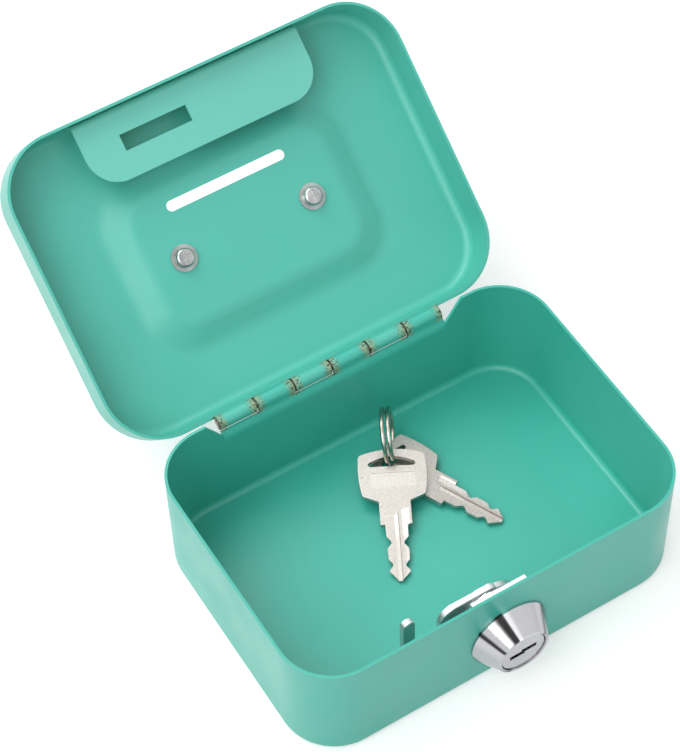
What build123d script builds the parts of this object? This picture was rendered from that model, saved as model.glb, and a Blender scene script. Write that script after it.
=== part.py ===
from build123d import *
from math import atan2, cos, degrees, hypot, pi, radians, sin, sqrt, tan
import os

os.makedirs("parts", exist_ok=True)

# A small key-locked steel box with a hinged lid, drawn with the lid open and its keys inside.
# The origin is the middle of the bottom face, X runs along the width and the lock faces -Y.
# The lid and its fittings are drawn shut, then swung open about the hinge pin.

# Sheet steel
sheet = 0.8

# Base tray
base_width = 122.0
base_depth = 88.0
base_height = 39.0
base_corner = 16.0
base_edge = 2.6

# Lid
lid_gap = 0.7
lid_overlap = 3.9
lid_height = 14.5
lid_edge = 3.4
lid_open_angle = 142.3

# Hinge
pin_radius = 1.25
pin_clearance = 0.05
knuckle_count = 6
knuckle_pitch = 12.24
knuckle_gap = 0.5
hinge_drop = 2.3
leaf_jog = 4.2
base_seam_end = 300.0
lid_seam_start = 60.0
strip_height = 2.7
notch_drop = 8.0
notch_spread = 5.1

# Pressed recess in the lid
recess_depth = 3.0
recess_mouth_width = 78.8
recess_mouth_depth = 52.6
recess_mouth_corner = 14.0
recess_floor_width = 62.6
recess_floor_depth = 38.0
recess_floor_corner = 8.0
recess_centre = 1.2
recess_round = 9.0
coin_length = 38.6
coin_width = 3.1
coin_centre = -12.9

# Strike plate
strike_sheet = 1.0
strike_width = 72.4
strike_reach = 20.2
strike_corner = 9.5
strike_flange = 5.6
strike_bend = 1.8
strike_gap = 0.35
strike_slot_length = 21.2
strike_slot_width = 4.8
strike_slot_centre = -13.8

# Carrying handle
screw_spacing = 42.2
screw_line = 1.85
lug_width = 8.0
lug_depth = 7.0
lug_height = 4.6
lug_round = 1.2
bail_radius = 1.5
bail_pivot_height = 2.5
bail_reach = 15.0
bail_corner = 5.5
bail_fit = 0.08
bail_end_depth = 2.0
bail_side_gap = 0.4
screw_radius = 1.5
screw_clearance = 0.1
screw_grip = 3.2
screw_head_radius = 2.8
screw_head_height = 1.9
washer_radius = 3.95
washer_thickness = 0.6

# Lock
lock_height = 17.5
bezel_radius = 11.8
bezel_front_radius = 7.9
bezel_lip = 0.7
bezel_length = 7.7
shank_radius = 9.5
shank_flat = 8.7
shank_length = 8.0
wall_hole_clearance = 0.1
neck_radius = 8.0
plug_radius = 7.0
plug_fit = 0.05
plug_set_back = 0.3
plug_end = 8.1
square_size = 6.0
square_fit = 0.05
stud_radius = 2.5
stud_length = 2.9
keyway_length = 8.4
keyway_width = 2.4
keyway_depth = 14.2
ward_width = 3.6
ward_depth = 0.7
wafer_count = 5
wafer_pitch = 2.2
wafer_first = 3.4
wafer_thickness = 1.0
wafer_length = 12.0
wafer_height = 6.4
wafer_play = 0.1
spring_radius = 0.5
spring_length = 4.6

# Lock clip
clip_sheet = 1.0
clip_leg = 3.2
clip_fit = 0.1
clip_leg_length = 9.0
clip_top = 13.5
clip_flange = 4.0
clip_flange_width = 17.3

# Turn stop, cam hook and its nut
stop_thickness = 0.55
stop_radius = 9.3
stop_nub_radius = 7.6
stop_nub_angle = 20.0
stop_margin = 1.0
turn_angle = 90.0
cam_thickness = 1.8
cam_hub_radius = 8.7
cam_top = 9.4
cam_top_end = 2.4
cam_shoulder = 16.1
cam_shoulder_round = 5.0
cam_throat = 7.8
cam_throat_bottom = 8.4
cam_finger_width = 3.7
cam_finger_top = 14.5
cam_arm = 5.5
lock_washer_thickness = 0.6
lock_washer_radius = 4.6
nut_width = 8.0
nut_height = 2.2

# Keys and their split ring
key_thickness = 1.6
key_bow_length = 16.4
key_bow_width = 19.6
key_bow_crown = 1.7
key_bow_taper = 0.8
key_bow_slant = 1.9
key_bow_round = 1.1
key_neck_width = 9.0
key_shoulder = 23.7
key_length = 41.0
key_tip = 2.8
key_tip_width = 1.1
key_blade_width = 6.4
key_waist_width = 3.7
key_waists = (29.3, 36.2)
key_waist_flat = 0.7
key_waist_slope = 1.9
key_slot_low = 5.4
key_slot_high = 2.3
key_slot_half = 5.9
key_slot_end = 0.9
key_panel_start = 7.4
key_panel_length = 4.5
key_panel_width = 12.6
key_panel_depth = 0.15
key_groove_start = 20.3
key_groove_width = 1.3
key_rabbet_start = 18.6
key_rabbet_inner = 1.6
key_rabbet_outer = 3.7
key_mill_depth = 0.45
ring_radius = 8.0
ring_wire = 0.65
ring_wire_gap = 0.45
ring_heading = 60.0
ring_lean = 8.0
ring_floor_gap = 0.1
ring_side = 9.8
ring_back_gap = 12.5
top_key_side = 8.53
top_key_back_gap = 15.54
top_key_heading = -118.1
top_key_pitch = 7.77
top_key_lift = 6.4
under_key_side = 5.65
under_key_back_gap = 13.53
under_key_heading = -63.2
under_key_pitch = 3.27
under_key_lift = 3.2

# Worked out from the sizes above
lid_width = base_width + 2 * (lid_gap + sheet)
lid_depth = base_depth + 2 * (lid_gap + sheet)
lid_corner = base_corner + lid_gap + sheet
lid_rim_z = base_height - lid_overlap
lid_top_z = lid_rim_z + lid_height
bore_radius = pin_radius + pin_clearance
knuckle_radius = bore_radius + sheet
hinge_y = lid_depth / 2 - sheet + knuckle_radius
hinge_z = lid_rim_z - hinge_drop
hinge_length = knuckle_count * knuckle_pitch
hinge_axis = Axis((0, hinge_y, hinge_z), (1, 0, 0))
recess_floor_z = lid_top_z - recess_depth
recess_run = min(recess_mouth_width - recess_floor_width, recess_mouth_depth - recess_floor_depth) / 2
recess_slope = atan2(recess_depth, recess_run)
slope_share = 0.4
recess_bend = min(recess_round, slope_share * hypot(recess_run, recess_depth) / tan(recess_slope / 2))
back_plane = Plane.XZ.offset(-base_depth / 2 - knuckle_radius)
side_plane = Plane.YZ.offset(-hinge_length / 2)
lock_plane = Plane(origin=(0, -base_depth / 2, lock_height), x_dir=(1, 0, 0), z_dir=(0, -1, 0))


def save(piece, label):
    """Label a finished piece and write it to its own file."""
    piece.label = label
    export_step(piece, f"parts/{label}.step")


def swing_lid(piece):
    """Turn a piece of the closed lid to where it stands with the lid open."""
    return piece.rotate(hinge_axis, -lid_open_angle)


def knuckle_start(index):
    """X of the left end of one hinge knuckle."""
    return -hinge_length / 2 + index * knuckle_pitch + knuckle_gap / 2


def rolled_ring(seam_start, seam_end):
    """Sketch a sheet rolled round the pin, open from one angle to another."""
    far = 3 * knuckle_radius
    middle = (seam_start + seam_end) / 2
    seam = [(0, 0)]
    for angle in (seam_start, middle, seam_end):
        seam.append((far * cos(radians(angle)), far * sin(radians(angle))))
    with Locations((hinge_y, hinge_z)):
        Circle(knuckle_radius)
        Circle(bore_radius, mode=Mode.SUBTRACT)
        Polygon(*seam, align=None, mode=Mode.SUBTRACT)


def jogged_leaf():
    """Sketch the base sheet where it steps out from the back wall to meet the pin."""
    low = (base_depth / 2 - sheet, hinge_z - leaf_jog)
    high = (hinge_y - knuckle_radius, hinge_z)
    with BuildLine() as leaf:
        Spline(low, high, tangents=((0, 1), (0, 1)))
        Line(high, (high[0] + sheet, high[1]))
        Spline((low[0] + sheet, low[1]), (high[0] + sheet, high[1]), tangents=((0, 1), (0, 1)))
        Line(low, (low[0] + sheet, low[1]))
    make_face(leaf.edges())


# Base tray: a deep drawn steel tray with its three hinge knuckles rolled from the back wall
with BuildPart() as base_tray:
    with BuildSketch():
        RectangleRounded(base_width, base_depth, base_corner)
    extrude(amount=base_height)
    fillet(base_tray.edges().group_by(Axis.Z)[0], base_edge)
    offset(amount=-sheet, openings=base_tray.faces().sort_by(Axis.Z)[-1])
    strip_foot = hinge_z - leaf_jog
    with BuildSketch(back_plane):
        with BuildLine():
            Polyline(
                (-hinge_length / 2, strip_foot),
                (hinge_length / 2, strip_foot),
                (hinge_length / 2, base_height - notch_drop),
                (hinge_length / 2 + notch_spread, base_height),
                (-hinge_length / 2 - notch_spread, base_height),
                (-hinge_length / 2, base_height - notch_drop),
                close=True,
            )
        make_face()
    extrude(amount=2 * knuckle_radius, mode=Mode.SUBTRACT)
    with BuildSketch(side_plane):
        jogged_leaf()
        with Locations((hinge_y, strip_foot)):
            Rectangle(base_depth, 2 * strip_height, mode=Mode.INTERSECT)
    extrude(amount=hinge_length)
    for index in range(1, knuckle_count, 2):
        with BuildSketch(Plane.YZ.offset(knuckle_start(index))):
            rolled_ring(180, base_seam_end)
            jogged_leaf()
        extrude(amount=knuckle_pitch - knuckle_gap)
    with BuildSketch(lock_plane):
        Circle(shank_radius + wall_hole_clearance)
        across = 2 * (shank_flat + wall_hole_clearance)
        Rectangle(across, base_height, mode=Mode.INTERSECT)
    extrude(amount=-2 * sheet, mode=Mode.SUBTRACT)
save(base_tray.part, "base_tray")

# Hinge pin: a plain steel wire through all six knuckles
with BuildPart() as hinge_pin:
    with BuildSketch(side_plane):
        with Locations((hinge_y, hinge_z)):
            Circle(pin_radius)
    extrude(amount=hinge_length)
    chamfer(hinge_pin.edges(), 0.2)
save(hinge_pin.part, "hinge_pin")

# Lid shell: a shallow drawn lid with a pressed recess, coin slot and three rolled knuckles
def lid_form(inset):
    """The lid as a solid block with its recess, all faces set in by the same amount."""
    mouth_z = lid_top_z - inset
    floor_z = recess_floor_z - inset
    with BuildPart() as form:
        with BuildSketch(Plane.XY.offset(lid_rim_z - inset)):
            RectangleRounded(lid_width - 2 * inset, lid_depth - 2 * inset, lid_corner - inset)
        extrude(amount=lid_height)
        fillet(form.edges().group_by(Axis.Z)[-1], lid_edge - inset)
        with BuildSketch(Plane.XY.offset(mouth_z)):
            with Locations((0, recess_centre)):
                RectangleRounded(recess_mouth_width, recess_mouth_depth, recess_mouth_corner)
        with BuildSketch(Plane.XY.offset(floor_z)):
            with Locations((0, recess_centre)):
                RectangleRounded(recess_floor_width, recess_floor_depth, recess_floor_corner)
        loft(mode=Mode.SUBTRACT)
        flats = form.faces().filter_by(Axis.Z).sort_by(Axis.Z)
        fillet(flats[-2].edges() + flats[-1].inner_wires()[0].edges(), recess_bend)
    return form.part


lid_outside = lid_form(0)
lid_inside = lid_form(sheet)
with BuildPart() as lid_shell:
    add(lid_outside)
    add(lid_inside, mode=Mode.SUBTRACT)
    with BuildSketch(Plane.XY.offset(recess_floor_z)):
        with Locations((0, coin_centre)):
            SlotOverall(coin_length, coin_width)
        with Locations((-screw_spacing / 2, screw_line), (screw_spacing / 2, screw_line)):
            Circle(screw_radius + screw_clearance)
    extrude(amount=-sheet, mode=Mode.SUBTRACT)
    for index in range(0, knuckle_count, 2):
        with BuildSketch(Plane.YZ.offset(knuckle_start(index))):
            rolled_ring(lid_seam_start, 180)
            with Locations((hinge_y - knuckle_radius, hinge_z)):
                Rectangle(sheet, hinge_drop + lid_height / 4, align=Align.MIN)
        extrude(amount=knuckle_pitch - knuckle_gap)
save(swing_lid(lid_shell.part), "lid_shell")

# Strike plate: an angle of painted steel welded inside the lid front, slotted for the hook
strike_z = base_height + strike_gap
lid_front_inside = -lid_depth / 2 + sheet
cam_y = -base_depth / 2 + shank_length + stop_thickness + 0.1 + cam_thickness / 2
with BuildPart() as strike_plate:
    with BuildSketch(Plane.YZ.offset(-strike_width / 2)):
        with Locations((lid_front_inside, strike_z)):
            Rectangle(strike_reach, strike_sheet, align=Align.MIN)
            Rectangle(strike_sheet, strike_flange, align=Align.MIN)
    extrude(amount=strike_width)
    bend_edges = strike_plate.edges().filter_by(Axis.X)
    fillet(bend_edges.group_by(Axis.Y)[0].sort_by(Axis.Z)[0], strike_bend)
    fillet(bend_edges.group_by(Axis.Y)[1].sort_by(Axis.Z)[0], strike_bend - strike_sheet)
    fillet(strike_plate.edges().filter_by(Axis.Z).group_by(Axis.Y)[-1], strike_corner)
    with BuildSketch(Plane.XY.offset(strike_z)):
        with Locations((strike_slot_centre, cam_y)):
            Rectangle(strike_slot_length, strike_slot_width)
    extrude(amount=strike_sheet, mode=Mode.SUBTRACT)
save(swing_lid(strike_plate.part), "strike_plate")

# Handle lugs: two small blocks on the recess floor, tapped below and drilled at the side
lug_places = [(side * screw_spacing / 2, screw_line) for side in (-1, 1)]
bail_z = recess_floor_z + bail_pivot_height
bail_line = screw_spacing / 2 + lug_width / 2
with BuildPart() as handle_lugs:
    with BuildSketch(Plane.XY.offset(recess_floor_z)):
        with Locations(*lug_places):
            Rectangle(lug_width, lug_depth)
    extrude(amount=lug_height)
    fillet(handle_lugs.edges().filter_by(Axis.Z), lug_round)
    chamfer(handle_lugs.edges().group_by(Axis.Z)[-1], lug_round / 2)
    with BuildSketch(Plane.XY.offset(recess_floor_z)):
        with Locations(*lug_places):
            Circle(screw_radius + screw_clearance / 2)
    extrude(amount=screw_grip + 0.3, mode=Mode.SUBTRACT)
    for side in (-1, 1):
        with BuildSketch(Plane.YZ.offset(side * bail_line)):
            with Locations((screw_line, bail_z)):
                Circle(bail_radius / 2 + bail_fit)
        extrude(amount=-side * (bail_end_depth + bail_fit), mode=Mode.SUBTRACT)
save(swing_lid(handle_lugs.part), "handle_lugs")

# Handle screws: pan heads inside the lid, drawn with their cross slots
washer_z = recess_floor_z - sheet
head_z = washer_z - washer_thickness
with BuildPart() as handle_screws:
    with BuildSketch(Plane.XY.offset(head_z)):
        with Locations(*lug_places):
            Circle(screw_head_radius)
    extrude(amount=-screw_head_height)
    fillet(handle_screws.edges().group_by(Axis.Z)[0], screw_head_height / 2)
    with BuildSketch(Plane.XY.offset(head_z)):
        with Locations(*lug_places):
            Circle(screw_radius)
    extrude(amount=washer_thickness + sheet + screw_grip)
    with BuildSketch(Plane.XY.offset(head_z - screw_head_height)):
        with Locations(*lug_places):
            Rectangle(screw_head_radius * 1.1, 0.7)
            Rectangle(0.7, screw_head_radius * 1.1)
    extrude(amount=screw_head_height * 0.6, mode=Mode.SUBTRACT)
save(swing_lid(handle_screws.part), "handle_screws")

# Handle washers: one flat washer under each screw head
with BuildPart() as handle_washers:
    with BuildSketch(Plane.XY.offset(head_z)):
        with Locations(*lug_places):
            Circle(washer_radius)
            Circle(screw_radius + screw_clearance, mode=Mode.SUBTRACT)
    extrude(amount=washer_thickness)
save(swing_lid(handle_washers.part), "handle_washers")

# Carrying handle: a wire bail whose thin turned-in ends sit in the lugs, so that it hangs free
bail_leg_x = bail_line + bail_side_gap + bail_radius
bail_plane = Plane(origin=(0, screw_line, bail_z), x_dir=(1, 0, 0), z_dir=(0, 0, 1))
bail_axis = Axis((0, screw_line, bail_z), (1, 0, 0))
with BuildPart() as handle_bail:
    with BuildLine(bail_plane):
        FilletPolyline(
            (-bail_leg_x, 0),
            (-bail_leg_x, bail_reach),
            (bail_leg_x, bail_reach),
            (bail_leg_x, 0),
            radius=bail_corner,
        )
    with BuildSketch(Plane(origin=(-bail_leg_x, screw_line, bail_z), z_dir=(0, 1, 0))):
        Circle(bail_radius)
    sweep()
    for side in (-1, 1):
        with Locations((side * bail_leg_x, screw_line, bail_z)):
            Sphere(bail_radius)
        with BuildSketch(Plane.YZ.offset(side * bail_leg_x)):
            with Locations((screw_line, bail_z)):
                Circle(bail_radius / 2)
        extrude(amount=-side * (bail_leg_x - bail_line + bail_end_depth))
bail_hang_angle = lid_open_angle - 90
save(swing_lid(handle_bail.part.rotate(bail_axis, bail_hang_angle)), "handle_bail")

# Lock barrel: a turned body with a conical bezel, two flats and a neck for the clip
with BuildPart() as lock_barrel:
    with BuildSketch(lock_plane):
        Circle(bezel_radius)
    extrude(amount=bezel_lip)
    with BuildSketch(lock_plane.offset(bezel_lip)):
        Circle(bezel_radius)
    cone_length = bezel_length - bezel_lip
    cone_slope = degrees(atan2(bezel_radius - bezel_front_radius, cone_length))
    extrude(amount=cone_length, taper=cone_slope)
    with BuildSketch(lock_plane):
        Circle(shank_radius)
        Rectangle(2 * shank_flat, 2 * shank_radius, mode=Mode.INTERSECT)
    extrude(amount=-shank_length)
    with BuildSketch(lock_plane.offset(-sheet)):
        Circle(bezel_radius)
        Circle(neck_radius, mode=Mode.SUBTRACT)
    extrude(amount=-clip_sheet - clip_fit, mode=Mode.SUBTRACT)
    with BuildSketch(lock_plane.offset(-shank_length)):
        Circle(shank_flat)
        Circle(stop_nub_radius, mode=Mode.SUBTRACT)
        nub_half = stop_nub_angle / 2
        nub_side = 2 * shank_radius
        nub_x = nub_side * cos(radians(nub_half))
        nub_y = nub_side * sin(radians(nub_half))
        Polygon((0, 0), (nub_x, -nub_y), (nub_x, nub_y), align=None, mode=Mode.INTERSECT)
    extrude(amount=-stop_thickness)
    with BuildSketch(lock_plane.offset(bezel_length)):
        Circle(plug_radius + plug_fit)
    extrude(amount=-bezel_length - shank_length, mode=Mode.SUBTRACT)
save(lock_barrel.part, "lock_barrel")

# Lock clip: a spring steel horseshoe on the barrel's neck with a flange bent back at its top
clip_inner = neck_radius + clip_fit
clip_outer = clip_inner + clip_leg
with BuildPart() as lock_clip:
    with BuildSketch(lock_plane.offset(-sheet)):
        Circle(clip_outer)
        with Locations((0, -clip_leg_length)):
            Rectangle(2 * clip_outer, clip_leg_length, align=(Align.CENTER, Align.MIN))
        Rectangle(clip_flange_width, clip_top, align=(Align.CENTER, Align.MIN))
        with Locations((0, -clip_leg_length)):
            Rectangle(3 * clip_outer, clip_outer, align=(Align.CENTER, Align.MAX), mode=Mode.SUBTRACT)
            Rectangle(2 * clip_inner, clip_leg_length, align=(Align.CENTER, Align.MIN), mode=Mode.SUBTRACT)
        Circle(clip_inner, mode=Mode.SUBTRACT)
    extrude(amount=-clip_sheet)
    with BuildSketch(lock_plane.offset(-sheet)):
        with Locations((0, clip_top)):
            Rectangle(clip_flange_width, clip_sheet, align=(Align.CENTER, Align.MAX))
    extrude(amount=-clip_sheet - clip_flange)
save(lock_clip.part, "lock_clip")

# Lock plug: the turning core, with its keyway, wafer slots, square and threaded stud
plug_front = bezel_length - plug_set_back
wafer_slot = wafer_thickness + wafer_play
wafer_depths = [wafer_first - index * wafer_pitch for index in range(wafer_count)]
with BuildPart() as lock_plug:
    with BuildSketch(lock_plane.offset(plug_front)):
        Circle(plug_radius)
    extrude(amount=-plug_front - plug_end)
    chamfer(lock_plug.edges().sort_by(Axis.Y)[0], 0.3)
    square_length = stop_thickness + cam_thickness + lock_washer_thickness / 2
    with BuildSketch(lock_plane.offset(-plug_end)):
        Rectangle(square_size, square_size)
    extrude(amount=-square_length)
    with BuildSketch(lock_plane.offset(-plug_end - square_length)):
        Circle(stud_radius)
    extrude(amount=-stud_length)
    with BuildSketch(lock_plane.offset(plug_front)):
        Rectangle(keyway_length, keyway_width)
        for side in (-1, 1):
            ward_x = side * (keyway_length - ward_width) / 2
            with Locations((ward_x, -side * (keyway_width - ward_depth) / 2)):
                Rectangle(ward_width, ward_depth, mode=Mode.SUBTRACT)
    extrude(amount=-keyway_depth, mode=Mode.SUBTRACT)
    for depth in wafer_depths:
        with BuildSketch(lock_plane.offset(depth + wafer_play / 2)):
            Rectangle(wafer_length + 2 * wafer_play, wafer_height + 2 * wafer_play)
            with Locations((0, wafer_height / 2 + spring_radius + wafer_play)):
                Rectangle(spring_length + 2 * wafer_play, 2 * (spring_radius + wafer_play))
        extrude(amount=-wafer_slot, mode=Mode.SUBTRACT)
save(lock_plug.part, "lock_plug")

# Lock wafers: five sliding plates inside the plug, each with a window for the key
with BuildPart() as lock_wafers:
    for depth in wafer_depths:
        with BuildSketch(lock_plane.offset(depth)):
            Rectangle(wafer_length, wafer_height)
            Rectangle(keyway_length, keyway_width, mode=Mode.SUBTRACT)
        extrude(amount=-wafer_thickness)
save(lock_wafers.part, "lock_wafers")

# Wafer springs: five tiny coil springs inside the closed plug, each drawn as a plain rod
with BuildPart() as wafer_springs:
    for depth in wafer_depths:
        spring_y = -base_depth / 2 - depth + wafer_thickness / 2
        spring_z = lock_height + wafer_height / 2 + spring_radius + wafer_play
        with BuildSketch(Plane.YZ.offset(-spring_length / 2)):
            with Locations((spring_y, spring_z)):
                Circle(spring_radius)
        extrude(amount=spring_length)
save(wafer_springs.part, "wafer_springs")

# Turn stop: a washer on the plug's square, cut away over the arc that the barrel's nub allows
stop_plane = lock_plane.offset(-plug_end)
cut_half = (stop_nub_angle + turn_angle) / 2 + stop_margin
cut_middle = turn_angle / 2
with BuildPart() as turn_stop:
    with BuildSketch(stop_plane):
        Circle(stop_radius)
        cut = [(0, 0)]
        for part_angle in (-cut_half, 0, cut_half):
            direction = radians(cut_middle + part_angle)
            cut.append((2.5 * stop_radius * cos(direction), 2.5 * stop_radius * sin(direction)))
        Polygon(*cut, align=None, mode=Mode.SUBTRACT)
        Circle(stop_nub_radius - 0.2)
        Rectangle(square_size + 2 * square_fit, square_size + 2 * square_fit, mode=Mode.SUBTRACT)
    extrude(amount=-stop_thickness + 0.1)
save(turn_stop.part, "turn_stop")

# Cam hook: a flat steel hook on the square, whose finger rises through the strike plate
cam_plane = stop_plane.offset(-stop_thickness)
throat_left = -cam_shoulder - cam_throat
finger_left = throat_left - cam_finger_width
arm_bottom = -cam_throat_bottom - cam_arm
with BuildPart() as cam_hook:
    with BuildSketch(cam_plane):
        with BuildLine():
            FilletPolyline(
                (cam_top_end, 0),
                (cam_top_end, cam_top),
                (-cam_shoulder, cam_top),
                (-cam_shoulder, -cam_throat_bottom),
                (throat_left, -cam_throat_bottom),
                (throat_left, cam_finger_top),
                (finger_left, cam_finger_top),
                (finger_left, arm_bottom),
                (0, arm_bottom),
                radius=[
                    cam_top_end,
                    cam_shoulder_round,
                    cam_throat / 2 - 0.2,
                    cam_throat / 2 - 0.2,
                    cam_finger_width / 2 - 0.1,
                    cam_finger_width / 2 - 0.1,
                    cam_throat,
                ],
            )
            Line((0, arm_bottom), (cam_top_end, 0))
        make_face()
        Circle(cam_hub_radius)
        Rectangle(square_size + 2 * square_fit, square_size + 2 * square_fit, mode=Mode.SUBTRACT)
    extrude(amount=-cam_thickness)
    chamfer(cam_hook.edges().group_by(Axis.Y)[0], 0.2)
save(cam_hook.part, "cam_hook")

# Lock washer and nut: they clamp the hook against the turn stop
washer_plane = cam_plane.offset(-cam_thickness)
with BuildPart() as cam_washer:
    with BuildSketch(washer_plane):
        Circle(lock_washer_radius)
        Rectangle(square_size + 2 * square_fit, square_size + 2 * square_fit, mode=Mode.SUBTRACT)
    extrude(amount=-lock_washer_thickness)
save(cam_washer.part, "cam_washer")

with BuildPart() as cam_nut:
    with BuildSketch(washer_plane.offset(-lock_washer_thickness)):
        RegularPolygon(nut_width / 2, 6, major_radius=False)
        Circle(stud_radius + square_fit, mode=Mode.SUBTRACT)
    extrude(amount=-nut_height)
save(cam_nut.part, "cam_nut")


def key_bow():
    """Sketch the bow: a crowned shield, a little narrower towards the blade."""
    half = key_bow_width / 2
    low = key_bow_length - key_bow_slant
    with BuildLine() as outline:
        ThreePointArc(
            (key_bow_crown, half - key_bow_taper / 2),
            (0, 0),
            (key_bow_crown, -half + key_bow_taper / 2),
        )
        for side in (-1, 1):
            ThreePointArc(
                (key_bow_crown, side * (half - key_bow_taper / 2)),
                (low / 2, side * half),
                (low, side * (half - key_bow_taper)),
            )
            Line((low, side * (half - key_bow_taper)), (key_bow_length, side * key_neck_width / 2))
        Line((key_bow_length, -key_neck_width / 2), (key_bow_length, key_neck_width / 2))
    shield = make_face(outline.edges())
    corners = shield.vertices().filter_by(lambda corner: abs(corner.Y) > key_neck_width / 2 + 0.1)
    fillet(corners, key_bow_round)


def key_slot():
    """Sketch the slot for the ring: straight on one side and arched on the other."""
    wide = (key_slot_low + key_slot_high) / 2
    with BuildLine() as outline:
        Line((key_slot_low, -key_slot_half), (key_slot_low, key_slot_half))
        for side in (-1, 1):
            ThreePointArc(
                (key_slot_low, side * key_slot_half),
                ((key_slot_low + wide) / 2, side * (key_slot_half + key_slot_end)),
                (wide, side * key_slot_half),
            )
        ThreePointArc((wide, -key_slot_half), (key_slot_high, 0), (wide, key_slot_half))
    make_face(outline.edges(), mode=Mode.SUBTRACT)


def build_key():
    """One key lying flat, its bow at the origin and its blade along X."""
    half_blade = key_blade_width / 2
    half_waist = key_waist_width / 2
    with BuildPart() as key:
        with BuildSketch():
            key_bow()
            key_slot()
            with Locations((key_bow_length - key_bow_slant, 0)):
                neck_length = key_shoulder - key_bow_length + key_bow_slant
                Rectangle(neck_length, key_neck_width, align=(Align.MIN, Align.CENTER))
            with BuildLine() as blade:
                Polyline(
                    (key_shoulder, -half_blade),
                    (key_length - key_tip, -half_blade + 0.3),
                    (key_length, -key_tip_width / 2),
                    (key_length, key_tip_width / 2),
                    (key_length - key_tip, half_blade - 0.3),
                    (key_shoulder, half_blade),
                    close=True,
                )
            make_face(blade.edges())
            for waist in key_waists:
                for side in (-1, 1):
                    Polygon(
                        (waist - key_waist_flat / 2 - key_waist_slope, side * (half_blade + 0.2)),
                        (waist - key_waist_flat / 2, side * half_waist),
                        (waist + key_waist_flat / 2, side * half_waist),
                        (waist + key_waist_flat / 2 + key_waist_slope, side * (half_blade + 0.2)),
                        align=None,
                        mode=Mode.SUBTRACT,
                    )
        extrude(amount=key_thickness)
        for face_z, inward in ((0, 1), (key_thickness, -1)):
            rabbet_middle = -inward * (key_rabbet_inner + key_rabbet_outer) / 2
            with BuildSketch(Plane.XY.offset(face_z)):
                with Locations((key_groove_start, 0)):
                    Rectangle(key_length, key_groove_width, align=(Align.MIN, Align.CENTER))
                with Locations((key_rabbet_start, rabbet_middle)):
                    rabbet_width = key_rabbet_outer - key_rabbet_inner
                    Rectangle(key_length, rabbet_width, align=(Align.MIN, Align.CENTER))
            extrude(amount=inward * key_mill_depth, mode=Mode.SUBTRACT)
            with BuildSketch(Plane.XY.offset(face_z)):
                with Locations((key_panel_start + key_panel_length / 2, 0)):
                    Rectangle(key_panel_length, key_panel_width)
            extrude(amount=inward * key_panel_depth, mode=Mode.SUBTRACT)
    return key.part


def lay_key(side, back_gap, lift, heading, pitch):
    """Set a key down with its bow raised near the back wall, its blade pointing along a heading."""
    turn = radians(heading)
    slope = radians(pitch)
    along = (cos(turn) * cos(slope), sin(turn) * cos(slope), -sin(slope))
    upright = (cos(turn) * sin(slope), sin(turn) * sin(slope), cos(slope))
    plane = Plane(origin=(side, base_depth / 2 - back_gap, lift), x_dir=along, z_dir=upright)
    return plane.location * build_key()


save(lay_key(top_key_side, top_key_back_gap, top_key_lift, top_key_heading, top_key_pitch), "key_top")
laid_under = lay_key(under_key_side, under_key_back_gap, under_key_lift, under_key_heading, under_key_pitch)
save(laid_under, "key_under")

# Key ring: a split ring of one and a half turns of wire, standing in the slots of both keys
ring_pitch = 2 * ring_wire + ring_wire_gap
ring_climb = atan2(ring_pitch / 2, ring_radius)


def ring_turn_gap():
    """The least gap between the ring's first and last half turns, measured on points."""
    least = ring_radius
    for step in range(181):
        lower = (ring_radius * cos(radians(step)), ring_radius * sin(radians(step)))
        for other in range(181):
            upper = (ring_radius * cos(radians(other)), ring_radius * sin(radians(other)))
            flat = (lower[0] - upper[0]) ** 2 + (lower[1] - upper[1]) ** 2
            least = min(least, sqrt(flat + ring_pitch**2))
    return least - 2 * ring_wire


with BuildPart() as key_ring:
    for start_x, level, climb in (
        (ring_radius, -ring_pitch / 2, 0),
        (-ring_radius, -ring_pitch / 2, ring_climb),
        (ring_radius, ring_pitch / 2, 0),
    ):
        with BuildSketch(Plane(origin=(start_x, 0, level), x_dir=(1, 0, 0), z_dir=(0, -1, 0))):
            Circle(ring_wire)
        turn_height = 0 if climb else level
        turn_axis = Axis((0, 0, turn_height), (-sin(climb), 0, cos(climb)))
        revolve(axis=turn_axis, revolution_arc=180)
print("least gap between the ring's turns", round(ring_turn_gap(), 3))
ring_z = sheet + ring_floor_gap + ring_wire + ring_radius
ring_turn = radians(ring_heading)
ring_tilt = radians(ring_lean)
ring_plane = Plane(
    origin=(ring_side, base_depth / 2 - ring_back_gap, ring_z),
    x_dir=(cos(ring_turn), sin(ring_turn), 0),
    z_dir=(sin(ring_turn) * cos(ring_tilt), -cos(ring_turn) * cos(ring_tilt), sin(ring_tilt)),
)
save(ring_plane.location * key_ring.part, "key_ring")
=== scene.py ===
import math
import bpy
from mathutils import Matrix, Vector

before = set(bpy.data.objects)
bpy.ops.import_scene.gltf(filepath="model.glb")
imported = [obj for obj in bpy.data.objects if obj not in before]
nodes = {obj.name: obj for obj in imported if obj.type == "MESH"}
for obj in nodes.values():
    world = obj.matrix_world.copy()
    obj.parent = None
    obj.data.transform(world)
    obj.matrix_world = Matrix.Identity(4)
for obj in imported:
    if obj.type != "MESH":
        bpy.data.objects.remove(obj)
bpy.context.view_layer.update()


# Tray
# A deep drawn steel tray, sprayed mint green inside and out, with three hinge knuckles
# rolled from its back wall, where the paint has rubbed down to a speckled cream and the slits between the knuckles
# carry a painted shade line.
hinge_line = Vector((0.0, 0.0468, 0.0328))
hinge_half_length = 0.03672
knuckle_pitch = 0.01224
mint = (0.060, 0.480, 0.385, 1)
mint_shade = (0.045, 0.435, 0.345, 1)
worn_cream = (0.33, 0.36, 0.20, 1)
# Dark dirt for specks and pits, also used as the painted shade in the hinge slits.
grime_and_slit_shade = (0.030, 0.022, 0.010, 1)
rust_brown = (0.20, 0.13, 0.045, 1)
roll_edge = (0.0023, 0.0029)
strip_fade = 0.0006
speck_cells = 85.0
speck_size = (0.018, 0.034)
speck_chosen = (0.965, 0.97)
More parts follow.
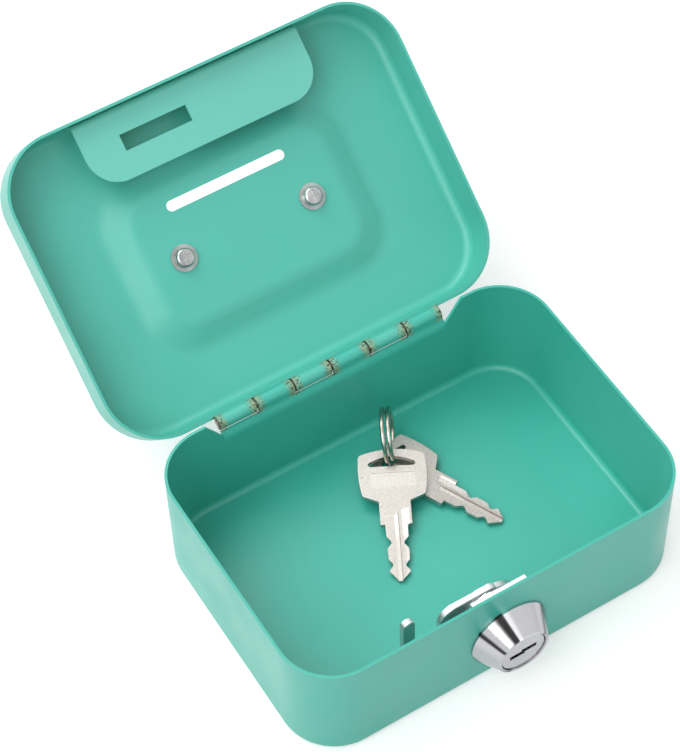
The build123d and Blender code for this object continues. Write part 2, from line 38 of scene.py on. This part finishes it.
paint_gloss = (0.32, 0.42)
# Width of the painted shade line along each slit between the knuckles.
slit_shade_width = (0.00022, 0.00042)


def add_node(tree, kind, sockets=None, **settings):
    """One shader node with its settings; a socket takes a plain value or another node's output."""
    made = tree.nodes.new(kind)
    for key, value in settings.items():
        setattr(made, key, value)
    for key, value in (sockets or {}).items():
        if isinstance(value, bpy.types.NodeSocket):
            tree.links.new(value, made.inputs[key])
        else:
            made.inputs[key].default_value = value
    return made


def calculate(tree, operation, first, second=0.0):
    """The result of one sum on two values."""
    return add_node(tree, "ShaderNodeMath", {0: first, 1: second}, operation=operation).outputs[0]


def grade(tree, value, low, high, to_low=0.0, to_high=1.0):
    """A value stretched smoothly from one range to another and held at its ends."""
    sockets = {"Value": value, "From Min": low, "From Max": high, "To Min": to_low, "To Max": to_high}
    return add_node(tree, "ShaderNodeMapRange", sockets, interpolation_type="SMOOTHSTEP").outputs["Result"]


def blend_colours(tree, share, first, second):
    """Two colours mixed by a share from 0 to 1."""
    mixed = add_node(tree, "ShaderNodeMix", None, data_type="RGBA")
    for socket, value in ((mixed.inputs[0], share), (mixed.inputs[6], first), (mixed.inputs[7], second)):
        if isinstance(value, bpy.types.NodeSocket):
            tree.links.new(value, socket)
        else:
            socket.default_value = value
    return mixed.outputs[2]


def grain(tree, place, scale, detail=2.0, roughness=0.5):
    """Cloudy grain of so many patches to the metre."""
    sockets = {"Vector": place, "Scale": scale, "Detail": detail, "Roughness": roughness}
    return add_node(tree, "ShaderNodeTexNoise", sockets).outputs["Fac"]


def new_finish(name):
    """An empty material: its tree, its surface shader and the object's own coordinates."""
    material = bpy.data.materials.new(name)
    material.use_nodes = True
    tree = material.node_tree
    surface = tree.nodes["Principled BSDF"]
    place = add_node(tree, "ShaderNodeTexCoord").outputs["Object"]
    return material, tree, surface, place


def dress(name, material):
    """Give one CAD node its finish."""
    piece = nodes[name]
    piece.data.materials.clear()
    piece.data.materials.append(material)


def hinge_wear(tree, place):
    """How near a point lies to the hinge's roll, and how near to one of its dark slits."""
    parts = add_node(tree, "ShaderNodeSeparateXYZ", {0: place}).outputs
    across = calculate(tree, "SUBTRACT", parts["Y"], hinge_line.y)
    above = calculate(tree, "SUBTRACT", parts["Z"], hinge_line.z)
    across_square = calculate(tree, "MULTIPLY", across, across)
    above_square = calculate(tree, "MULTIPLY", above, above)
    reach = calculate(tree, "SQRT", calculate(tree, "ADD", across_square, above_square))
    on_roll = grade(tree, reach, *roll_edge, 1.0, 0.0)
    along = calculate(tree, "ABSOLUTE", parts["X"])
    on_strip = grade(tree, along, hinge_half_length, hinge_half_length + strip_fade, 1.0, 0.0)
    shifted = calculate(tree, "ADD", parts["X"], hinge_half_length)
    to_slit = calculate(tree, "PINGPONG", shifted, knuckle_pitch / 2)
    return calculate(tree, "MULTIPLY", on_roll, on_strip), to_slit


def scattered_dots(tree, place, cells_per_metre, size, chosen):
    """Small round dots in a few cells out of many, so that they lie far apart and at random."""
    cells = add_node(tree, "ShaderNodeTexVoronoi", {"Vector": place, "Scale": cells_per_metre})
    pick = add_node(tree, "ShaderNodeSeparateColor", {0: cells.outputs["Color"]}).outputs[0]
    dot = grade(tree, cells.outputs["Distance"], *size, 1.0, 0.0)
    return calculate(tree, "MULTIPLY", dot, grade(tree, pick, *chosen))


def add_bump(tree, surface, height, strength, distance=0.0001):
    """Let a grain stand out a little from the surface."""
    bump = add_node(tree, "ShaderNodeBump", {"Height": height, "Strength": strength, "Distance": distance})
    tree.links.new(bump.outputs[0], surface.inputs["Normal"])


def mint_paint(name, worn_hinge, painted_sheen=0.0):
    """Glossy sprayed paint with a faint orange peel, a few dark specks and, where asked, a worn hinge with painted
    shade in its slits; an optional painted sheen lightens the whole colour.
    """
    material, tree, surface, place = new_finish(name)
    cloud = grain(tree, place, 14.0, 3.0)
    # Painted sheen: both mint tones are lifted evenly, which makes a lighter lit copy of the same paint.
    pale_mint_with_sheen = tuple(part + painted_sheen for part in mint[:3]) + (1,)
    deep_mint_with_sheen = tuple(part + painted_sheen for part in mint_shade[:3]) + (1,)
    colour = blend_colours(tree, grade(tree, cloud, 0.35, 0.68), deep_mint_with_sheen, pale_mint_with_sheen)
    speck = scattered_dots(tree, place, speck_cells, speck_size, speck_chosen)
    colour = blend_colours(tree, calculate(tree, "MULTIPLY", speck, 0.85), colour, grime_and_slit_shade)
    gloss = grade(tree, grain(tree, place, 60.0, 4.0), 0.3, 0.7, *paint_gloss)
    if worn_hinge:
        on_roll, to_slit = hinge_wear(tree, place)
        patches = grain(tree, place, 700.0, 5.0, 0.8)
        near = grade(tree, to_slit, 0.0004, 0.0040, 1.0, 0.0)
        rubbed = grade(tree, calculate(tree, "ADD", calculate(tree, "MULTIPLY", near, 0.38), patches), 0.58, 0.92)
        rubbed = calculate(tree, "MULTIPLY", rubbed, on_roll)
        colour = blend_colours(tree, calculate(tree, "MULTIPLY", rubbed, 0.72), colour, worn_cream)
        rust = grade(tree, grain(tree, place, 480.0, 4.0, 0.8), 0.52, 0.70)
        rust_share = calculate(tree, "MULTIPLY", calculate(tree, "MULTIPLY", rust, on_roll),
                               grade(tree, to_slit, 0.0003, 0.0026, 0.75, 0.0))
        colour = blend_colours(tree, rust_share, colour, rust_brown)
        flecks = grade(tree, grain(tree, place, 1700.0, 2.0, 0.6), 0.55, 0.60)
        fleck_share = calculate(tree, "MULTIPLY", calculate(tree, "MULTIPLY", flecks, on_roll),
                                grade(tree, to_slit, 0.0010, 0.0036, 1.0, 0.0))
        colour = blend_colours(tree, fleck_share, colour, grime_and_slit_shade)
        # Painted shade: a dark line along each narrow slit between the knuckles, where the gap falls into shade.
        slit_painted_shade = calculate(tree, "MULTIPLY", grade(tree, to_slit, *slit_shade_width, 0.85, 0.0), on_roll)
        colour = blend_colours(tree, slit_painted_shade, colour, grime_and_slit_shade)
        gloss = calculate(tree, "ADD", gloss, calculate(tree, "MULTIPLY", rubbed, 0.3))
    tree.links.new(colour, surface.inputs["Base Color"])
    tree.links.new(gloss, surface.inputs["Roughness"])
    surface.inputs["Coat Weight"].default_value = 0.12
    surface.inputs["Coat Roughness"].default_value = 0.30
    add_bump(tree, surface, grain(tree, place, 1100.0, 1.0), 0.02, 0.0002)
    return material


dress("base_tray", mint_paint("mint_paint_tray", True))


# Hinge pin
# A plain drawn steel wire, pushed through all six knuckles and dull with use.
def bare_steel(name, colour, shade, roughness, grain_scale):
    """Bare or plated steel with faint cloudy stains and fine scratches."""
    material, tree, surface, place = new_finish(name)
    stain = grain(tree, place, 160.0, 5.0, 0.6)
    tree.links.new(blend_colours(tree, grade(tree, stain, 0.35, 0.7), shade, colour), surface.inputs["Base Color"])
    fine = grain(tree, place, grain_scale, 4.0, 0.65)
    tree.links.new(grade(tree, fine, 0.3, 0.7, roughness * 0.75, roughness * 1.3), surface.inputs["Roughness"])
    surface.inputs["Metallic"].default_value = 1.0
    add_bump(tree, surface, fine, 0.03)
    return material


drawn_wire = bare_steel("drawn_wire", (0.50, 0.48, 0.45, 1), (0.22, 0.19, 0.16, 1), 0.38, 1800.0)
dress("hinge_pin", drawn_wire)


# Lid
# A shallow drawn steel lid in the same mint paint, with a pressed recess and a coin slot.
# Its own three knuckles have worn in the same way as the tray's, with the same painted shade in their slits, and
# its paint is lightened a little by a painted sheen.
dress("lid_shell", mint_paint("mint_paint_lid_with_sheen", True, 0.03))


# Strike plate
# An angle of sheet steel welded inside the lid front and sprayed with it, its colour lightened further than the
# lid's by a painted sheen.
dress("strike_plate", mint_paint("mint_paint_strike_with_sheen", False, 0.09))


# Handle lugs and handle
# Two small blocks and a bent wire on the lid's outside, all bright chrome.
def chrome_plate(name, colour, roughness):
    """Bright chrome with a faint haze of fine polishing marks."""
    material, tree, surface, place = new_finish(name)
    haze = grain(tree, place, 90.0, 4.0, 0.6)
    darker = tuple(part * 0.86 for part in colour[:3]) + (1,)
    tree.links.new(blend_colours(tree, grade(tree, haze, 0.3, 0.7), darker, colour), surface.inputs["Base Color"])
    marks = grade(tree, grain(tree, place, 900.0, 3.0), 0.3, 0.7, roughness * 0.7, roughness * 1.5)
    tree.links.new(marks, surface.inputs["Roughness"])
    surface.inputs["Metallic"].default_value = 1.0
    add_bump(tree, surface, grain(tree, place, 700.0, 3.0), 0.05)
    return material


bright_chrome = chrome_plate("bright_chrome", (0.62, 0.62, 0.65, 1), 0.10)
dress("handle_lugs", bright_chrome)
dress("handle_bail", bright_chrome)


# Handle screws and washers
# Zinc plated cross-head screws on flat washers, put in from the inside of the lid.
bright_zinc = bare_steel("bright_zinc", (0.76, 0.78, 0.79, 1), (0.70, 0.73, 0.74, 1), 0.42, 700.0)
screw_zinc = bare_steel("screw_zinc", (0.62, 0.64, 0.64, 1), (0.30, 0.31, 0.31, 1), 0.22, 1200.0)
washer_zinc = bare_steel("washer_zinc", (0.48, 0.54, 0.52, 1), (0.32, 0.36, 0.35, 1), 0.28, 1200.0)
dress("handle_screws", screw_zinc)
dress("handle_washers", washer_zinc)


# Lock barrel
# A turned and polished bezel of chromed zinc; the narrow bright and dark streaks on its cone are painted
# reflections, set by the angle around the lock's axis.
lock_middle = Vector((0.0, -0.044, 0.0175))
# Angle in degrees and grey level of each painted reflection streak around the lock's axis.
painted_reflection_turns = ((0, 0.42), (20, 0.38), (32, 0.16), (39, 0.44), (62, 0.55), (92, 0.58), (97, 0.90), (101, 0.90),
                (103, 0.05), (112, 0.03), (115, 0.14), (119, 0.50), (137, 0.56), (140, 0.05), (144, 0.04),
                (147, 0.46), (180, 0.50), (215, 0.34), (235, 0.14), (244, 0.46), (300, 0.28), (330, 0.45))


def cone_with_painted_reflections(name):
    """Turned chrome with painted reflections: narrow bright and dark bands, set by the angle around the lock's
    axis, running from the cone's edge to its face.
    """
    material = chrome_plate(name, (0.62, 0.62, 0.65, 1), 0.12)
    tree = material.node_tree
    place = tree.nodes["Texture Coordinate"].outputs["Object"]
    parts = add_node(tree, "ShaderNodeSeparateXYZ", {0: place}).outputs
    height = calculate(tree, "SUBTRACT", parts["Z"], lock_middle.z)
    turn = calculate(tree, "ARCTAN2", height, parts["X"])
    share = calculate(tree, "FRACT", calculate(tree, "ADD", calculate(tree, "DIVIDE", turn, 2 * math.pi), 1.0))
    # The painted reflection bands become the bezel's base colour.
    reflection_bands = add_node(tree, "ShaderNodeValToRGB", {0: share})
    stops = reflection_bands.color_ramp.elements
    stops[0].position = 0.0
    stops[1].position = 1.0
    for degrees, _ in painted_reflection_turns[1:]:
        stops.new(degrees / 360)
    for stop, (degrees, level) in zip(stops, painted_reflection_turns + (painted_reflection_turns[0],)):
        stop.color = (level, level, level * 1.04, 1)
    tree.links.new(reflection_bands.outputs[0], tree.nodes["Principled BSDF"].inputs["Base Color"])
    return material


dress("lock_barrel", cone_with_painted_reflections("chrome_with_painted_reflections"))


# Lock clip
# A spring steel clip behind the front wall, plated bright, with its flange along the rim.
dress("lock_clip", bright_zinc)


# Lock plug
# The turning core of the lock, chromed on its face, which is a little duller than the bezel.
satin_chrome = chrome_plate("satin_chrome", (0.52, 0.51, 0.53, 1), 0.24)
dress("lock_plug", satin_chrome)


# Wafers and springs
# Thin brass plates and steel wire inside the plug, out of sight.
wafer_brass = bare_steel("wafer_brass", (0.80, 0.62, 0.28, 1), (0.55, 0.40, 0.16, 1), 0.34, 1600.0)
dress("lock_wafers", wafer_brass)
dress("wafer_springs", drawn_wire)


# Turn stop, hook, washer and nut
# Flat stampings behind the lock, zinc plated, clamped on the plug's square by the nut.
for stamped in ("turn_stop", "cam_hook", "cam_washer", "cam_nut"):
    dress(stamped, bright_zinc)


# Keys
# Two stamped keys in worn nickel, grainy on the bow, with milled cuts and grooves of bright bare metal that also
# carry a painted highlight, and a painted shade line along one edge of the centre groove.
nickel = (0.54, 0.52, 0.485, 1)
nickel_shade = (0.42, 0.40, 0.37, 1)
bright_nickel_and_highlight = (0.80, 0.78, 0.74, 1)
# Colour of the painted shade line along one edge of the centre groove.
groove_shade_colour = (0.16, 0.11, 0.09, 1)
panel_length = (0.0074, 0.0119)
panel_half_width = 0.0063
blade_end = 0.050
groove_start = 0.0203
groove_half_width = 0.0005
rabbet_start = 0.0186
rabbet_sides = (0.0017, 0.0037)
# Painted highlight on the milled grooves, fading along the blade.
groove_highlight_fade = (0.0245, 0.030)
shade_line_start = 0.022
shade_line_sides = (0.00062, 0.00078)
pit_cells = 300.0
pit_size = (0.05, 0.12)
pit_chosen = (0.93, 0.95)


def window(tree, value, low, high, edge):
    """One between two limits, falling to nought over a thin edge outside them."""
    after = grade(tree, value, low - edge, low)
    before = grade(tree, value, high, high + edge, 1.0, 0.0)
    return calculate(tree, "MULTIPLY", after, before)


def distance_along(tree, offset, direction):
    """How far an offset reaches along a direction."""
    product = add_node(tree, "ShaderNodeVectorMath", {0: offset, 1: direction}, operation="DOT_PRODUCT")
    return product.outputs["Value"]


def worn_nickel(name, bow_end, heading, dip):
    """Nickel plate with a tumbled grain, a smooth pressed panel on the bow, milled grooves of bright bare metal
    with a painted highlight, and a painted shade line beside the centre groove.
    """
    material, tree, surface, place = new_finish(name)
    turn, slope = math.radians(heading), math.radians(dip)
    along = (math.cos(turn) * math.cos(slope), math.sin(turn) * math.cos(slope), -math.sin(slope))
    across = (-math.sin(turn), math.cos(turn), 0.0)
    from_end = add_node(tree, "ShaderNodeVectorMath", {0: place, 1: bow_end}, operation="SUBTRACT").outputs[0]
    length = distance_along(tree, from_end, along)
    width = distance_along(tree, from_end, across)
    speckle = grain(tree, place, 2600.0, 2.0, 0.6)
    cloud = grain(tree, place, 260.0, 3.0, 0.6)
    colour = blend_colours(tree, grade(tree, speckle, 0.34, 0.66), nickel_shade, nickel)
    colour = blend_colours(tree, grade(tree, cloud, 0.3, 0.75, 0.0, 0.25), colour, nickel_shade)
    pit = scattered_dots(tree, place, pit_cells, pit_size, pit_chosen)
    colour = blend_colours(tree, calculate(tree, "MULTIPLY", pit, 0.5), colour, grime_and_slit_shade)
    on_panel = window(tree, width, -panel_half_width, panel_half_width, 0.0003)
    panel = calculate(tree, "MULTIPLY", window(tree, length, *panel_length, 0.0003), on_panel)
    colour = blend_colours(tree, calculate(tree, "MULTIPLY", panel, 0.14), colour, bright_nickel_and_highlight)
    on_groove = window(tree, width, -groove_half_width, groove_half_width, 0.0002)
    groove = calculate(tree, "MULTIPLY", on_groove, window(tree, length, groove_start, blade_end, 0.0002))
    on_rabbet = window(tree, width, *rabbet_sides, 0.0002)
    rabbet = calculate(tree, "MULTIPLY", on_rabbet, window(tree, length, rabbet_start, blade_end, 0.0002))
    milled = calculate(tree, "MAXIMUM", groove, rabbet)
    # The milled grooves are bare metal and also carry a painted highlight that fades along the blade.
    milled_shine_and_highlight = calculate(tree, "MULTIPLY", milled, grade(tree, length, *groove_highlight_fade, 0.62, 0.22))
    colour = blend_colours(tree, milled_shine_and_highlight, colour, bright_nickel_and_highlight)
    # Painted shade: a dark line along one edge of the centre groove, where its wall falls into shade.
    on_shade_line = window(tree, width, *shade_line_sides, 0.0001)
    groove_shade = calculate(tree, "MULTIPLY", on_shade_line, window(tree, length, shade_line_start, blade_end, 0.003))
    colour = blend_colours(tree, calculate(tree, "MULTIPLY", groove_shade, 0.6), colour, groove_shade_colour)
    tree.links.new(colour, surface.inputs["Base Color"])
    rough = grade(tree, speckle, 0.3, 0.7, 0.30, 0.44)
    smoother = calculate(tree, "SUBTRACT", rough, calculate(tree, "MULTIPLY", milled_shine_and_highlight, 0.12))
    tree.links.new(smoother, surface.inputs["Roughness"])
    surface.inputs["Metallic"].default_value = 1.0
    add_bump(tree, surface, speckle, 0.10)
    return material


top_bow_end = (0.00853, 0.02846, 0.0064)
top_heading = -118.1
top_dip = 7.77
under_bow_end = (0.00565, 0.03047, 0.0032)
under_heading = -63.2
under_dip = 3.27
dress("key_top", worn_nickel("key_top_nickel", top_bow_end, top_heading, top_dip))
dress("key_under", worn_nickel("key_under_nickel", under_bow_end, under_heading, under_dip))


# Key ring
# A split ring of hard nickel plated wire, wound one and a half turns.
dress("key_ring", bare_steel("ring_nickel", (0.62, 0.58, 0.52, 1), (0.38, 0.34, 0.29, 1), 0.2, 1500.0))


# Floor
# A wide pale table top under the box, which keeps its soft shadow.
floor_mesh = bpy.data.meshes.new("floor")
floor_half = 3.0
floor_drop = 0.0001
floor_grey = 0.78
floor_glow = 0.42
room_glow = 0.50
floor_mesh.from_pydata([(-floor_half, -floor_half, 0), (floor_half, -floor_half, 0),
                        (floor_half, floor_half, 0), (-floor_half, floor_half, 0)], [], [(0, 1, 2, 3)])
floor = bpy.data.objects.new("floor", floor_mesh)
bpy.context.scene.collection.objects.link(floor)
floor.location.z = -floor_drop


def straight_look(tree):
    """One where a ray comes from the camera, or by way of a mirror or glass, and nought elsewhere."""
    rays = add_node(tree, "ShaderNodeLightPath").outputs
    seen = calculate(tree, "MAXIMUM", rays["Is Camera Ray"], rays["Is Glossy Ray"])
    return calculate(tree, "MAXIMUM", seen, rays["Is Transmission Ray"])


floor_finish, floor_tree, floor_surface = new_finish("pale_floor")[:3]
floor_surface.inputs["Base Color"].default_value = (floor_grey, floor_grey, floor_grey, 1)
floor_surface.inputs["Roughness"].default_value = 1.0
floor_surface.inputs["Specular IOR Level"].default_value = 0.0
floor_surface.inputs["Emission Color"].default_value = (1, 1, 1, 1)
floor_light = calculate(floor_tree, "MULTIPLY", straight_look(floor_tree), floor_glow)
floor_tree.links.new(floor_light, floor_surface.inputs["Emission Strength"])
floor_mesh.materials.append(floor_finish)

room = bpy.data.worlds.new("pale_room")
bpy.context.scene.world = room
room.use_nodes = True
room_tree = room.node_tree
room_light = room_tree.nodes["Background"]
room_light.inputs["Color"].default_value = (1, 1, 1, 1)
room_strength = grade(room_tree, straight_look(room_tree), 0.0, 1.0, room_glow, 1.0)
room_tree.links.new(room_strength, room_light.inputs["Strength"])


# Studio lights
# Two large soft panels, one high on the left and one over the back.
def soft_panel(name, place, aim, size, power):
    """A square lamp that points from its place to its aim."""
    lamp = bpy.data.lights.new(name, "AREA")
    lamp.shape = "SQUARE"
    lamp.size = size
    lamp.energy = power
    panel = bpy.data.objects.new(name, lamp)
    bpy.context.scene.collection.objects.link(panel)
    panel.location = place
    panel.rotation_euler = (Vector(aim) - Vector(place)).to_track_quat("-Z", "Y").to_euler()


box_middle = (0.0, 0.03, 0.02)
left_place = (-0.55, -0.25, 0.75)
over_place = (-0.20, 0.50, 0.90)
soft_panel("panel_left", left_place, box_middle, 0.8, 4.7)
soft_panel("panel_over", over_place, box_middle, 0.7, 5.0)


# Camera
# It stands to the left of the lock, high up and looking down into the box.
camera_aim = Vector((0.00206, 0.04467, 0.02928))
camera_distance = 0.7076
camera_lens = 119.93
camera_sensor = 36.0
camera_data = bpy.data.cameras.new("camera")
camera_data.lens = camera_lens
camera_data.sensor_width = camera_sensor
camera_data.clip_start = 0.01
camera = bpy.data.objects.new("camera", camera_data)
bpy.context.scene.collection.objects.link(camera)
heading, height, roll = math.radians(-30.02), math.radians(53.92), math.radians(-1.97)
away = Vector((math.sin(heading) * math.cos(height), -math.cos(heading) * math.cos(height), math.sin(height)))
side = Vector((math.cos(heading), math.sin(heading), 0.0))
up = away.cross(side)
turned_side = side * math.cos(roll) + up * math.sin(roll)
turned_up = up * math.cos(roll) - side * math.sin(roll)
stand = camera_aim + away * camera_distance
camera.matrix_world = Matrix((
    (turned_side.x, turned_up.x, away.x, stand.x),
    (turned_side.y, turned_up.y, away.y, stand.y),
    (turned_side.z, turned_up.z, away.z, stand.z),
    (0, 0, 0, 1),
))
bpy.context.scene.camera = camera
bpy.context.scene.view_settings.view_transform = "Standard"
